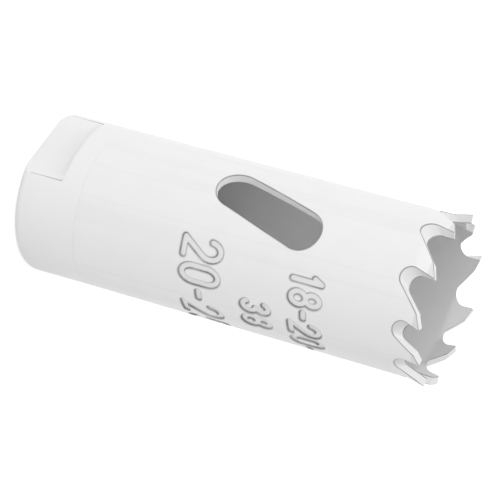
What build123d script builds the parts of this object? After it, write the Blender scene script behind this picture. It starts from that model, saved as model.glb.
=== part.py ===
from build123d import *
import os
from math import asin, atan2, cos, degrees, hypot, pi, radians, sin, tan

# A small two-metal hole saw, standing on its cap with the teeth up.
# The saw axis is Z, the back face of the cap lies in z = 0, and the two spanner flats face -Y and +Y.
# Lengths are in millimetres. Angles are in degrees, counted about +Z from +X.

# Overall sizes
overall_length = 51.0
body_diameter = 19.0
wall = 1.0

# End cap: a turned plug that is welded into the back of the tube
cap_length = 8.0
spigot_length = 2.0
spigot_clearance = 0.05
spigot_chamfer = 0.4
back_edge_radius = 1.0
thread_bore = 11.5
thread_chamfer = 0.6
across_flats = 16.0
flat_length = 5.4
flat_runout_radius = 0.25

# Plug-clearing slot, punched in the flat strip before it is rolled, leaning towards the teeth
slot_width = 5.0
slot_length = 14.3
slot_tilt = 17.5
slot_height = 30.2
slot_angle = -77.6

# Tooth form: a raked face in front, and behind the tip a relief facet and a longer slope
rake_angle = 15.0
relief_angle = 22.0
facet_share = 0.3
gullet_depth = 3.7
gullet_radius = 1.25
gullet_radius_share = 0.26
set_offset = 0.5
set_depth = 2.5
tip_strip_height = 0.9

# Gullet bevel: from the skin to the bore, the wall of a gullet moves forward and up by these shares
# of its depth below the tips, so that a gullet is smaller at the bore and the tips stay sharp
bevel_forward = 0.26
bevel_up = 0.33

# One row for each tooth: the angle of its tip, its set (1 outward, 0 straight, -1 inward) and the
# depth of the gullet in front of it, as a share. The short, shallow gap is at the seam of the strip.
tooth_rows = [
    (-99.5, 0, 1.0),
    (-60.9, -1, 1.0),
    (-25.0, 1, 0.9),
    (6.0, 0, 0.84),
    (33.2, 1, 0.84),
    (61.9, 1, 0.84),
    (95.5, -1, 0.84),
    (130.5, 1, 0.9),
    (170.6, 0, 0.95),
    (214.5, -1, 0.41),
    (226.0, 1, 0.97),
]

# Working values: how far a cut or a blank runs past the finished surface, and the arc past a tip
# at which its gullet is open all the way down to the bend
overrun = 1.0
open_arc = 0.3

body_radius = body_diameter / 2
bore_radius = body_radius - wall
bend_height = overall_length - set_depth
tip_strip_base = overall_length - tip_strip_height
gullet_outside = body_radius + set_offset + overrun
gullet_inside = bore_radius - set_offset - overrun
tooth_count = len(tooth_rows)
tip_steps = [
    (tooth_rows[(row + 1) % tooth_count][0] - tooth_rows[row][0]) % 360.0
    for row in range(tooth_count)
]


def radial_plane(angle, distance):
    """Plane square to the radius at an angle, with its X along the rim and its Y along the axis."""
    outward = Vector(cos(radians(angle)), sin(radians(angle)), 0)
    along_rim = Vector(-sin(radians(angle)), cos(radians(angle)), 0)
    return Plane(origin=outward * distance, x_dir=along_rim, z_dir=outward)


def axial_plane(angle):
    """Plane through the saw axis, with its X along the radius and its Y along the axis."""
    outward = Vector(cos(radians(angle)), sin(radians(angle)), 0)
    across = Vector(sin(radians(angle)), -cos(radians(angle)), 0)
    return Plane(origin=(0, 0, 0), x_dir=outward, z_dir=across)


def wrapped(point, distance):
    """Carry a point of the flat strip (arc along the rim, height) onto a plane at a distance.

    Every distance from the axis sees the point at the same angle, so walls that are ruled
    between two such planes point at the axis, as they do when a punched strip is rolled up.
    """
    return (distance * tan(point[0] / body_radius), point[1])


def bevelled(point, distance):
    """Move a point of a gullet's outline on the skin to where its wall is at another distance.

    The move grows with the depth below the tips. The tips themselves, and all above them, stay.
    """
    below = max(overall_length - point[1], 0.0)
    inward = (body_radius - distance / cos(point[0] / body_radius)) / wall
    return (point[0] + bevel_forward * below * inward, point[1] + bevel_up * below * inward)


def gullet_outline(row):
    """Corner points on the skin of the gullet in front of one tooth, in the strip, from its middle.

    The rake line leans back under the tip, the bottom is an arc, the back of the next tooth
    leaves that arc on a tangent, and a relief facet ends at the next tip.
    """
    pitch = radians(tip_steps[row]) * body_radius
    depth = gullet_depth * tooth_rows[row][2]
    rake = radians(rake_angle)
    relief = radians(relief_angle)
    radius = min(gullet_radius, gullet_radius_share * pitch)
    centre_z = radius - depth
    centre_s = (radius + centre_z * sin(rake)) / cos(rake)
    facet = facet_share * pitch
    heel = (pitch - facet, -facet * tan(relief))
    reach = hypot(heel[0] - centre_s, heel[1] - centre_z)
    back = atan2(heel[1] - centre_z, heel[0] - centre_s) + asin(radius / reach)
    rake_turn = pi - rake
    back_turn = 1.5 * pi + back
    bottom_turn = (rake_turn + back_turn) / 2
    points = {
        "tip_top": (overrun * tan(rake), overrun),
        "tip": (0.0, 0.0),
        "rake_foot": (centre_s + radius * cos(rake_turn), centre_z + radius * sin(rake_turn)),
        "bottom": (centre_s + radius * cos(bottom_turn), centre_z + radius * sin(bottom_turn)),
        "back_foot": (centre_s + radius * cos(back_turn), centre_z + radius * sin(back_turn)),
        "heel": heel,
        "next_tip": (pitch, 0.0),
        "past_tip": (pitch + overrun / 2, overrun / 2 * tan(relief)),
        "next_top": (pitch + overrun / 2, overrun),
    }
    return {name: (s - pitch / 2, overall_length + z) for name, (s, z) in points.items()}


def gullet_cutter(row):
    """Solid that is milled away in front of one tooth, up to the tip of the next."""
    outline = gullet_outline(row)
    with BuildPart() as cutter:
        for distance in (gullet_inside, gullet_outside):
            at = {
                name: wrapped(bevelled(point, distance), distance)
                for name, point in outline.items()
            }
            with BuildSketch(radial_plane(tooth_rows[row][0] + tip_steps[row] / 2, distance)):
                with BuildLine():
                    Polyline(at["next_top"], at["tip_top"], at["tip"], at["rake_foot"])
                    ThreePointArc(at["rake_foot"], at["bottom"], at["back_foot"])
                    Polyline(at["back_foot"], at["heel"], at["next_tip"])
                    Polyline(at["next_tip"], at["past_tip"], at["next_top"])
                make_face()
        loft(ruled=True)
    return cutter.part


gullets = [gullet_cutter(row) for row in range(tooth_count)]


def set_tooth(row):
    """One tooth above the bend: a flared, straight or drawn-in sector between its two gullets."""
    tip, tooth_set = tooth_rows[row][:2]
    blank_top = overall_length + overrun / 2
    drift = tooth_set * set_offset * (blank_top - bend_height) / set_depth
    start = tip - tip_steps[row - 1] + degrees(open_arc / body_radius)
    with BuildPart() as tooth:
        with BuildSketch(axial_plane(start)):
            with BuildLine():
                Polyline(
                    (bore_radius, bend_height),
                    (body_radius, bend_height),
                    (body_radius + drift, blank_top),
                    (bore_radius + drift, blank_top),
                    close=True,
                )
            make_face()
        revolve(axis=Axis.Z, revolution_arc=tip_steps[row - 1])
        add(gullets[row - 1], mode=Mode.SUBTRACT)
        add(gullets[row], mode=Mode.SUBTRACT)
    return tooth.part


teeth = [set_tooth(row) for row in range(tooth_count)]


def slot_edges():
    """The four edges of the slot in the flat strip, each as its start, middle and end."""
    lean = radians(slot_tilt)
    half_width = slot_width / 2
    straight = slot_length / 2 - half_width

    def at(across, along):
        arc = across * cos(lean) + along * sin(lean)
        return (arc, slot_height - across * sin(lean) + along * cos(lean))

    return [
        (at(half_width, -straight), at(half_width, 0), at(half_width, straight)),
        (at(half_width, straight), at(0, straight + half_width), at(-half_width, straight)),
        (at(-half_width, straight), at(-half_width, 0), at(-half_width, -straight)),
        (at(-half_width, -straight), at(0, -straight - half_width), at(half_width, -straight)),
    ]


# Tube of tough steel: rolled from strip, slotted, and toothed up to the foot of the hard tips
with BuildPart() as saw_body:
    with BuildSketch(Plane.XY.offset(cap_length)):
        Circle(body_radius)
        Circle(bore_radius, mode=Mode.SUBTRACT)
    extrude(amount=bend_height - cap_length)
    for gullet in gullets:
        add(gullet, mode=Mode.SUBTRACT)
    for distance in (bore_radius - overrun, body_radius + overrun):
        with BuildSketch(radial_plane(slot_angle, distance)):
            with BuildLine():
                for edge in slot_edges():
                    ThreePointArc(*[wrapped(point, distance) for point in edge])
            make_face()
    loft(ruled=True, mode=Mode.SUBTRACT)
    for tooth in teeth:
        weld_plane = Plane.XY.offset(tip_strip_base)
        add(split(tooth, bisect_by=weld_plane, keep=Keep.BOTTOM, mode=Mode.PRIVATE))
saw_body.part.label = "saw_body"

# Hard tips: what milling leaves of the welded edge strip, one solid for each tooth
with BuildPart() as tooth_tips:
    for tooth in teeth:
        weld_plane = Plane.XY.offset(tip_strip_base)
        add(split(tooth, bisect_by=weld_plane, keep=Keep.TOP, mode=Mode.PRIVATE))
tooth_tips.part.label = "tooth_tips"

# End cap: turned, bored for the arbor's thread, and milled with two spanner flats
with BuildPart() as end_cap:
    with BuildSketch():
        Circle(body_radius)
    extrude(amount=cap_length)
    fillet(end_cap.faces().sort_by(Axis.Z)[0].edges(), back_edge_radius)
    with BuildSketch(Plane.XY.offset(cap_length)):
        Circle(bore_radius - spigot_clearance)
    extrude(amount=spigot_length)
    chamfer(end_cap.faces().sort_by(Axis.Z)[-1].edges(), spigot_chamfer)
    Hole(thread_bore / 2)
    bore_wall = end_cap.faces().filter_by(GeomType.CYLINDER).sort_by(SortBy.RADIUS)[0]
    chamfer(bore_wall.edges().filter_by(GeomType.CIRCLE), thread_chamfer)
    with BuildSketch(Plane.YZ) as flat_profile:
        with Locations((across_flats / 2, -overrun)):
            Rectangle(
                body_radius + overrun - across_flats / 2,
                flat_length + overrun,
                align=(Align.MIN, Align.MIN),
            )
        inner_corner = flat_profile.vertices().group_by(Axis.X)[0].sort_by(Axis.Y)[-1]
        fillet(inner_corner, flat_runout_radius)
        mirror(about=Plane.YZ)
    extrude(amount=body_radius, both=True, mode=Mode.SUBTRACT)
end_cap.part.label = "end_cap"

os.makedirs("parts", exist_ok=True)
export_step(saw_body.part, "parts/saw_body.step")
export_step(tooth_tips.part, "parts/tooth_tips.step")
export_step(end_cap.part, "parts/end_cap.step")
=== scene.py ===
"""Dresses a small two-metal hole saw: a rolled and stamped tube, its set teeth and a turned cap.

The tube is drawn as the flat strip that it is rolled from. A point of the strip is (arc, height): the arc
runs round the outside, counted from +X about +Z, and the height is measured from the cap's back face. The
strip's edges are traced, its faces are triangulated flat, and one function rolls it up and sets the teeth.
Shapes are worked out in millimetres and put into the meshes in metres.
"""

from __future__ import annotations

import logging
import math
from dataclasses import dataclass, field, replace
from enum import IntEnum

import bpy
import numpy as np
from mathutils import Matrix
from mathutils.geometry import delaunay_2d_cdt

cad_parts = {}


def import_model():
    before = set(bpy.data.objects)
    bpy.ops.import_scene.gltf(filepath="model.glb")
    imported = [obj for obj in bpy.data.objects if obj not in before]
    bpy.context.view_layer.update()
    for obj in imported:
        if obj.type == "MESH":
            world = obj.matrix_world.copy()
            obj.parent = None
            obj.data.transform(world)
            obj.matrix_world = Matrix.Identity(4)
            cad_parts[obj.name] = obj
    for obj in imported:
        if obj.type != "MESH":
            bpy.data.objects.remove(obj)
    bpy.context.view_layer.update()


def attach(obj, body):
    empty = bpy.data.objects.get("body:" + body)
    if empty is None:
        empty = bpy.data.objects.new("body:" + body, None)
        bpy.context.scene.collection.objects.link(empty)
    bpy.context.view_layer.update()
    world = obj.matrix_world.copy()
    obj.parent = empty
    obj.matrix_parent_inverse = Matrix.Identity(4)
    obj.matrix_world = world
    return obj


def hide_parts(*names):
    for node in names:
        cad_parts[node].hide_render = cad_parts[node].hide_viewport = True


log = logging.getLogger("hole_saw")

# Metres in a millimetre
MM = 0.001
# Distance in millimetres at which a stroke or a dark line no longer shows
FAR = 9.0
# Least length or share that anything is divided by
TINY = 1e-12


class Face(IntEnum):
    """Material slots of a piece that is cut from strip or turned from bar."""

    SKIN = 0
    CUT = 1
    BORE = 2


class ToothSet(IntEnum):
    """Which way a tooth is bent out of the tube's wall."""

    INWARD = -1
    STRAIGHT = 0
    OUTWARD = 1


# Meshes


@dataclass
class Shell:
    """Vertices and faces of a closed piece, gathered patch by patch.

    Attributes:
        points: Vertex places in millimetres, one array for each patch.
        normals: Vertex normals, one array for each patch.
        marks: Named value arrays, one value for each vertex, for each patch.
        faces: Face corner arrays (three or four columns), one for each patch.
        slots: Material slots of each face array.
        count: Number of vertices so far.
    """

    points: list[np.ndarray] = field(default_factory=list)
    normals: list[np.ndarray] = field(default_factory=list)
    marks: dict[str, list[np.ndarray]] = field(default_factory=dict)
    faces: list[np.ndarray] = field(default_factory=list)
    slots: list[np.ndarray] = field(default_factory=list)
    count: int = 0

    def add_points(self, points: np.ndarray, normals: np.ndarray, **marks: np.ndarray) -> int:
        """Adds vertices.

        Args:
            points: Places, shape (n, 3), in millimetres.
            normals: Unit normals, shape (n, 3).
            **marks: Values for the shading, shape (n,) each.

        Returns:
            The index of the first new vertex.
        """
        first = self.count
        self.points.append(points)
        self.normals.append(normals)
        for name, values in marks.items():
            self.marks.setdefault(name, []).append(values)
        self.count += len(points)
        return first

    def add_faces(self, corners: np.ndarray, slot: Face | np.ndarray) -> None:
        """Adds faces, each with three or four corners, in one slot or one slot each."""
        self.faces.append(corners)
        self.slots.append(np.broadcast_to(np.asarray(slot, dtype=np.int32), (len(corners),)))

    def build(self, name: str, own_normals: bool = True) -> bpy.types.Object:
        """Makes the Blender object.

        Args:
            name: Name of the object and its mesh.
            own_normals: Whether the vertex normals are used as given.

        Returns:
            The new object, linked to the scene.
        """
        sizes = np.concatenate([np.full(len(f), f.shape[1], dtype=np.int32) for f in self.faces])
        corners = np.concatenate([f.ravel() for f in self.faces]).astype(np.int32)
        mesh = bpy.data.meshes.new(name)
        mesh.vertices.add(self.count)
        mesh.vertices.foreach_set("co", (np.concatenate(self.points) * MM).astype(np.float32).ravel())
        mesh.loops.add(len(corners))
        mesh.loops.foreach_set("vertex_index", corners)
        mesh.polygons.add(len(sizes))
        starts = np.concatenate([[0], np.cumsum(sizes)[:-1]]).astype(np.int32)
        mesh.polygons.foreach_set("loop_start", starts)
        mesh.polygons.foreach_set("material_index", np.concatenate(self.slots).astype(np.int32))
        mesh.polygons.foreach_set("use_smooth", np.ones(len(sizes), dtype=bool))
        for mark, parts in self.marks.items():
            layer = mesh.attributes.new(mark, "FLOAT", "POINT")
            layer.data.foreach_set("value", np.concatenate(parts).astype(np.float32))
        mesh.update(calc_edges=True)
        mesh.validate()
        if own_normals:
            mesh.normals_split_custom_set_from_vertices(np.concatenate(self.normals).tolist())
        piece = bpy.data.objects.new(name, mesh)
        bpy.context.scene.collection.objects.link(piece)
        return piece


def ring_quads(grid: np.ndarray) -> np.ndarray:
    """Quads of a grid of vertex indices whose columns close on themselves.

    Args:
        grid: Vertex indices, shape (rows, columns). Rows go from the outside of the wall inwards and
            columns go along the edge with the metal on their left.

    Returns:
        Corners of the quads, facing away from the metal.
    """
    right = np.roll(grid, -1, axis=1)
    return np.stack([grid[:-1], grid[1:], right[1:], right[:-1]], axis=-1).reshape(-1, 4)


# The flat strip

# Longest turn of one step round a rounded corner, in radians
STEP_TURN = 0.25
# Points of an edge that stand closer than this, in millimetres, are one point
SAME_POINT = 1e-3
# Space between the rows of a lattice, as a share of its step
ROW_SHARE = 0.866


@dataclass
class Edge:
    """A traced edge of the strip on its skin side, with the metal on its left.

    Attributes:
        points: Places (arc, height), shape (n, 2).
        outward: Unit directions away from the metal, shape (n, 2).
        inset: How far the rounded lip draws the face back from the edge, as vectors, shape (n, 2).
        lip: Radius of the lip, shape (n,).
        bevelled: Whether the wall at the edge leans, as in a gullet, or points at the axis.
        darkening: How dark its lips are, from 0 to 1.
        shear: Depth below the skin of the dark line on the wall, or FAR for none.
        thin: How many times thinner than usual that line is.
        face: Material slot of the wall.
    """

    points: np.ndarray
    outward: np.ndarray
    inset: np.ndarray
    lip: np.ndarray
    bevelled: bool = False
    darkening: float = 1.0
    shear: float = FAR
    thin: float = 1.0
    face: Face = Face.CUT

    def run(self) -> np.ndarray:
        """Length along the edge up to each point."""
        steps = np.linalg.norm(np.diff(self.points, axis=0), axis=1)
        return np.concatenate([[0.0], np.cumsum(steps)])

    def take(self, rows: np.ndarray | slice | list[int]) -> Edge:
        """Chosen points of the edge, in the order given."""
        return Edge(self.points[rows], self.outward[rows], self.inset[rows], self.lip[rows])

    def moved(self, arc: float) -> Edge:
        """The edge moved round the saw."""
        return Edge(self.points + [arc, 0.0], self.outward, self.inset, self.lip)


def joined(parts: list[Edge]) -> Edge:
    """One edge from several, end to end."""
    names = ("points", "outward", "inset", "lip")
    return Edge(*(np.concatenate([getattr(part, name) for part in parts]) for name in names))


def unit(vectors: np.ndarray) -> np.ndarray:
    """Vectors scaled to length one along their last axis."""
    return vectors / np.maximum(np.linalg.norm(vectors, axis=-1, keepdims=True), TINY)


def right_of(ways: np.ndarray) -> np.ndarray:
    """Ways along an edge turned a quarter to the right, so away from the metal."""
    return np.stack([ways[..., 1], -ways[..., 0]], axis=-1)


def stretch(start: np.ndarray, end: np.ndarray, way: np.ndarray, lip: float, parts: int) -> Edge:
    """A straight side in equal parts, without either end.

    Args:
        start: Where the side starts, as (arc, height).
        end: Where it ends.
        way: Unit direction from start to end.
        lip: Radius of its lip.
        parts: Number of parts, so one more than the points.

    Returns:
        The points between the ends, with the metal on their left.
    """
    share = np.arange(1, parts)[:, None] / parts
    outward = np.repeat(right_of(way)[None], parts - 1, axis=0)
    return Edge(start + (end - start) * share, outward, outward * lip, np.full(parts - 1, lip))


def straight(start: np.ndarray, end: np.ndarray, lip: float, spacing: float) -> Edge:
    """A straight side in two parts or more, none longer than the spacing, without either end."""
    parts = max(2, math.ceil(float(np.linalg.norm(end - start)) / spacing))
    return stretch(start, end, unit(end - start), lip, parts)


def rounded(place: np.ndarray, way: np.ndarray, turn: float, radius: float, lips: np.ndarray) -> Edge:
    """A rounded corner: an arc that leaves its start along a way and turns through an angle.

    A point that has turned through u lies at centre + side * radius * right_of(way turned by u). Side is
    1 for a turn to the left and -1 for one to the right.

    Args:
        place: Where the arc starts, as (arc, height).
        way: Unit direction in which it starts.
        turn: Angle that it turns through, above 0 to the left.
        radius: Its radius.
        lips: Radius of the lip at each of its points, which are evenly spaced.

    Returns:
        The arc, with both its ends.
    """
    share = np.linspace(0.0, 1.0, len(lips))[:, None]
    heading = np.arctan2(way[1], way[0]) + share * turn
    away = right_of(np.hstack([np.cos(heading), np.sin(heading)]))
    side = math.copysign(1.0, turn)
    centre = place - side * radius * right_of(way)
    return Edge(centre + side * radius * away, away, away * lips[:, None], lips)


def sharp(place: np.ndarray, ways: np.ndarray, lips: tuple[float, float]) -> Edge:
    """A sharp corner.

    Its inset solves two equations: the share of it across each of the two sides is that side's lip.

    Args:
        place: The corner, as (arc, height).
        ways: Unit directions of the side that arrives and of the side that leaves.
        lips: Radius of the lip on each.

    Returns:
        One point, which faces as the side with the larger lip does.
    """
    both = right_of(ways)
    inset = np.linalg.pinv(both) @ np.array(lips)
    return Edge(place[None], both[int(lips[1] >= lips[0])][None], inset[None], np.array([max(lips)]))


def trace(corners: np.ndarray, lips: np.ndarray, spacing: float, period: float = 0.0) -> Edge:
    """Follows a polygon with rounded corners, the metal on the left.

    Each corner of radius r is an arc that starts r * tan(turn / 2) before the corner and ends as far
    after it. Straight stretches are divided evenly.

    Args:
        corners: Rows (arc, height, radius).
        lips: Lip radius of the side that leaves each corner.
        spacing: Longest step along the edge.
        period: Shift of the arc after one turn round the saw, 0 for an edge that closes in the strip.

    Returns:
        The traced edge.
    """
    count = len(corners)
    places = corners[:, :2]
    ahead = np.roll(places, -1, axis=0)
    ahead[-1, 0] += period
    ways = unit(ahead - places)
    before = np.roll(ways, 1, axis=0)
    across = before[:, 0] * ways[:, 1] - before[:, 1] * ways[:, 0]
    turns = np.arctan2(across, np.sum(before * ways, axis=1))
    reach = corners[:, 2] * np.abs(np.tan(turns / 2))
    parts = []
    for index in range(count):
        place, arriving, leaving = places[index], before[index], ways[index]
        turn, radius = turns[index], corners[index, 2]
        sides = (lips[index - 1], lips[index])
        if radius > 0:
            steps = max(3, math.ceil(abs(turn) * radius / spacing), math.ceil(abs(turn) / STEP_TURN))
            lip = sides[0] + (sides[1] - sides[0]) * np.linspace(0.0, 1.0, steps + 1)
            parts.append(rounded(place - arriving * reach[index], arriving, turn, radius, lip))
        else:
            parts.append(sharp(place, np.stack([arriving, leaving]), sides))
        start = place + leaving * reach[index]
        end = ahead[index] - leaving * reach[(index + 1) % count]
        pieces = math.ceil(float(np.dot(end - start, leaving)) / spacing)
        if pieces > 1:
            parts.append(stretch(start, end, leaving, sides[1], pieces))
    edge = joined(parts)
    apart = np.linalg.norm(edge.points - np.roll(edge.points, 1, axis=0), axis=1) > SAME_POINT
    return edge.take(apart)


def triangles(points: np.ndarray, sides: np.ndarray) -> np.ndarray:
    """Triangles inside closed sides, by constrained Delaunay triangulation.

    Points that are closer than a millionth of a millimetre become one, and slivers without area are left out.

    Args:
        points: Places (arc, height), shape (n, 2).
        sides: Pairs of point indices that close the region.

    Returns:
        Corners, anticlockwise, as indices into points.
    """
    same_place, least_area = 1e-6, 1e-9
    _, _, faces, origins, _, _ = delaunay_2d_cdt(points.tolist(), sides.tolist(), [], 1, same_place)
    first = np.array([origin[0] for origin in origins])
    corners = first[np.array(faces)]
    a, b, c = (points[corners[:, k]] for k in range(3))
    area = (b[:, 0] - a[:, 0]) * (c[:, 1] - a[:, 1]) - (b[:, 1] - a[:, 1]) * (c[:, 0] - a[:, 0])
    corners[area < 0] = corners[area < 0][:, ::-1]
    return corners[np.abs(area) > least_area]


def lattice(low: tuple[float, float], high: tuple[float, float], step: float) -> np.ndarray:
    """Points of a grid whose every second row is moved by half a step.

    Args:
        low: Lowest arc and height.
        high: Highest arc and height, which the points stay below but for that half step.
        step: Space between the points of a row.

    Returns:
        Places (arc, height), shape (n, 2).
    """
    rows = np.arange(low[1], high[1], step * ROW_SHARE)
    columns = np.arange(low[0], high[0], step)
    arc, height = np.meshgrid(columns, rows)
    arc = arc + (np.arange(len(rows)) % 2)[:, None] * step / 2
    return np.stack([arc.ravel(), height.ravel()], axis=1)


def nearest(points: np.ndarray, others: np.ndarray) -> np.ndarray:
    """Distance from each point to the nearest of the others."""
    gaps = points[:, None, :] - others[None, :, :]
    return np.sqrt(np.min(np.sum(gaps * gaps, axis=2), axis=1))


# Stamped numerals

# Step round a curved stroke in degrees, which is a little longer where it doesn't divide the stroke
STROKE_STEP = 18
# Glyphs that are narrower than the rest, and the share of their width that they take
NARROW = "1-"
NARROW_SHARE = 0.62


def bow(centre: tuple[float, float], radii: tuple[float, float], start: float, end: float) -> np.ndarray:
    """Points along part of an ellipse, in a glyph's unit box.

    Args:
        centre: Middle of the ellipse.
        radii: Its half width and half height.
        start: Angle of the first point, in degrees.
        end: Angle of the last.

    Returns:
        The points, centre + radii * (cos angle, sin angle), shape (n, 2).
    """
    steps = max(4, int(abs(end - start) / STROKE_STEP))
    angles = np.radians(np.linspace(start, end, steps + 1))
    return np.stack([centre[0] + radii[0] * np.cos(angles), centre[1] + radii[1] * np.sin(angles)], axis=1)


# Strokes of each glyph, drawn in a box of 1 by 1
GLYPHS: dict[str, list[np.ndarray]] = {
    "0": [
        np.concatenate(
            [bow((0.5, 0.7), (0.5, 0.3), 0, 180), bow((0.5, 0.3), (0.5, 0.3), 180, 360), [[1.0, 0.7]]]
        )
    ],
    "1": [np.array([[0.05, 0.76], [0.5, 1.0], [0.5, 0.0]])],
    "2": [np.concatenate([bow((0.5, 0.72), (0.5, 0.28), 175, -38), [[0.0, 0.0], [1.0, 0.0]]])],
    "3": [
        np.concatenate([bow((0.5, 0.76), (0.44, 0.24), 155, -85), bow((0.5, 0.26), (0.5, 0.26), 85, -155)])
    ],
    "5": [
        np.concatenate(
            [[[0.92, 1.0], [0.14, 1.0], [0.06, 0.54]], bow((0.46, 0.33), (0.54, 0.33), 125, -150)]
        )
    ],
    "8": [bow((0.5, 0.76), (0.42, 0.24), -90, 270), bow((0.5, 0.26), (0.5, 0.26), 90, 450)],
    "-": [np.array([[0.1, 0.46], [0.9, 0.46]])],
}


@dataclass(frozen=True)
class Line:
    """One stamped line of plain numerals.

    Attributes:
        text: The numerals.
        start: Arc of the first stroke's middle.
        foot: Height of the lowest stroke's middle.
        tall: Height of a numeral between stroke middles.
        wide: Width of a numeral between stroke middles.
        space: Gap between stroke middles of neighbours.
    """

    text: str
    start: float
    foot: float
    tall: float
    wide: float
    space: float

    def strokes(self) -> np.ndarray:
        """The line's strokes on the strip.

        Returns:
            Both ends (arc, height) of every straight piece of every stroke, shape (n, 2, 2).
        """
        pieces, at = [], self.start
        for glyph in self.text:
            wide = self.wide * (NARROW_SHARE if glyph in NARROW else 1.0)
            for path in GLYPHS[glyph]:
                placed = np.asarray(path) * [wide, self.tall] + [at, self.foot]
                pieces.append(np.stack([placed[:-1], placed[1:]], axis=1))
            at += wide + self.space
        return np.concatenate(pieces)

    def box(self, margin: float) -> tuple[tuple[float, float], tuple[float, float]]:
        """The space that the line takes.

        Args:
            margin: How much is added all round the strokes' middles.

        Returns:
            The lowest and the highest corner, as (arc, height).
        """
        ends = self.strokes().reshape(-1, 2)
        low, high = ends.min(axis=0) - margin, ends.max(axis=0) + margin
        return (low[0], low[1]), (high[0], high[1])


@dataclass
class Stamping:
    """Numerals pressed into the strip as rounded channels.

    Attributes:
        lines: The stamped lines.
        depth: Depth of a channel.
        floor_half_width: Half the width of its flat floor.
        half_width: Half its width at the skin.
        gap_reach: How far round a line the gap to its strokes is worked out.
        step: Space between the fine points that form the channels.
        fine_box: How far past the channels the fine points' box goes.
        fine_reach: How far past the channels the fine points go.
    """

    lines: tuple[Line, ...] = (
        Line("20-25", -7.27, 21.93, 4.55, 2.05, 1.12),
        Line("38", -1.6, 29.6, 3.15, 1.45, 1.0),
        Line("18-20-22", -6.45, 35.45, 3.45, 1.6, 0.86),
    )
    depth: float = 0.26
    floor_half_width: float = 0.27
    half_width: float = 0.47
    gap_reach: float = 1.0
    step: float = 0.085
    fine_box: float = 0.25
    fine_reach: float = 0.21

    def gap(self, points: np.ndarray) -> tuple[np.ndarray, np.ndarray]:
        """Distance to the nearest stroke's middle and its direction.

        Args:
            points: Places (arc, height), shape (n, 2).

        Returns:
            The distances, shape (n,), which are FAR where no line is near, and unit vectors away from the
            stroke, shape (n, 2).
        """
        gap = np.full(len(points), FAR)
        way = np.zeros((len(points), 2))
        for line in self.lines:
            low, high = line.box(self.gap_reach)
            near = np.flatnonzero(np.all((points > low) & (points < high), axis=1))
            if not len(near):
                continue
            start, end = line.strokes()[:, 0], line.strokes()[:, 1]
            along = end - start
            offset = points[near][:, None, :] - start[None]
            share = np.clip(np.sum(offset * along, axis=2) / np.sum(along * along, axis=1), 0.0, 1.0)
            offset -= share[..., None] * along
            distance = np.linalg.norm(offset, axis=2)
            pick = np.argmin(distance, axis=1)
            rows = np.arange(len(near))
            gap[near] = distance[rows, pick]
            way[near] = unit(offset[rows, pick])
        return gap, way

    def press(self, points: np.ndarray) -> tuple[np.ndarray, np.ndarray, np.ndarray]:
        """The pressed surface: flat floor, and sides that rise by a smooth step to the skin.

        With x the way from the floor's side, 0, to the channel's side, 1, the surface lies
        depth * (1 - 3 * x^2 + 2 * x^3) below the skin, and rises by 6 * depth / width * x * (1 - x).

        Args:
            points: Places (arc, height), shape (n, 2).

        Returns:
            Height of the surface (0 or less), its slope along (arc, height), and the gap to the middle of
            the nearest stroke.
        """
        gap, way = self.gap(points)
        span = self.half_width - self.floor_half_width
        share = np.clip((gap - self.floor_half_width) / span, 0.0, 1.0)
        height = -self.depth * (1.0 - share * share * (3.0 - 2.0 * share))
        slope = (self.depth / span * 6.0 * share * (1.0 - share))[:, None] * way
        return height, slope, gap

    def lattice(self) -> np.ndarray:
        """Fine points over every channel and beside it.

        Returns:
            Places (arc, height), shape (n, 2).
        """
        boxes = [line.box(self.half_width + self.fine_box) for line in self.lines]
        spots = np.concatenate([lattice(*box, self.step) for box in boxes])
        return spots[self.gap(spots)[0] < self.half_width + self.fine_reach]


# The rolled body and its teeth


@dataclass(frozen=True)
class Tooth:
    """One tooth of the saw.

    Attributes:
        angle: Angle of its tip, in degrees.
        bent: Which way it is set.
        depth: Depth of the gullet in front of it.
    """

    angle: float
    bent: ToothSet
    depth: float


@dataclass(frozen=True)
class Gullet:
    """The gap in front of a tooth, in the strip.

    Attributes:
        tip: Tip of the tooth.
        corner: Where its raked side and the back of the next tooth meet.
        radius: Radius that rounds that corner.
        heel: Where the relief facet of the next tooth starts.
        middle: Arc of the rounded bottom's middle.
    """

    tip: np.ndarray
    corner: np.ndarray
    radius: float
    heel: np.ndarray
    middle: float


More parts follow.
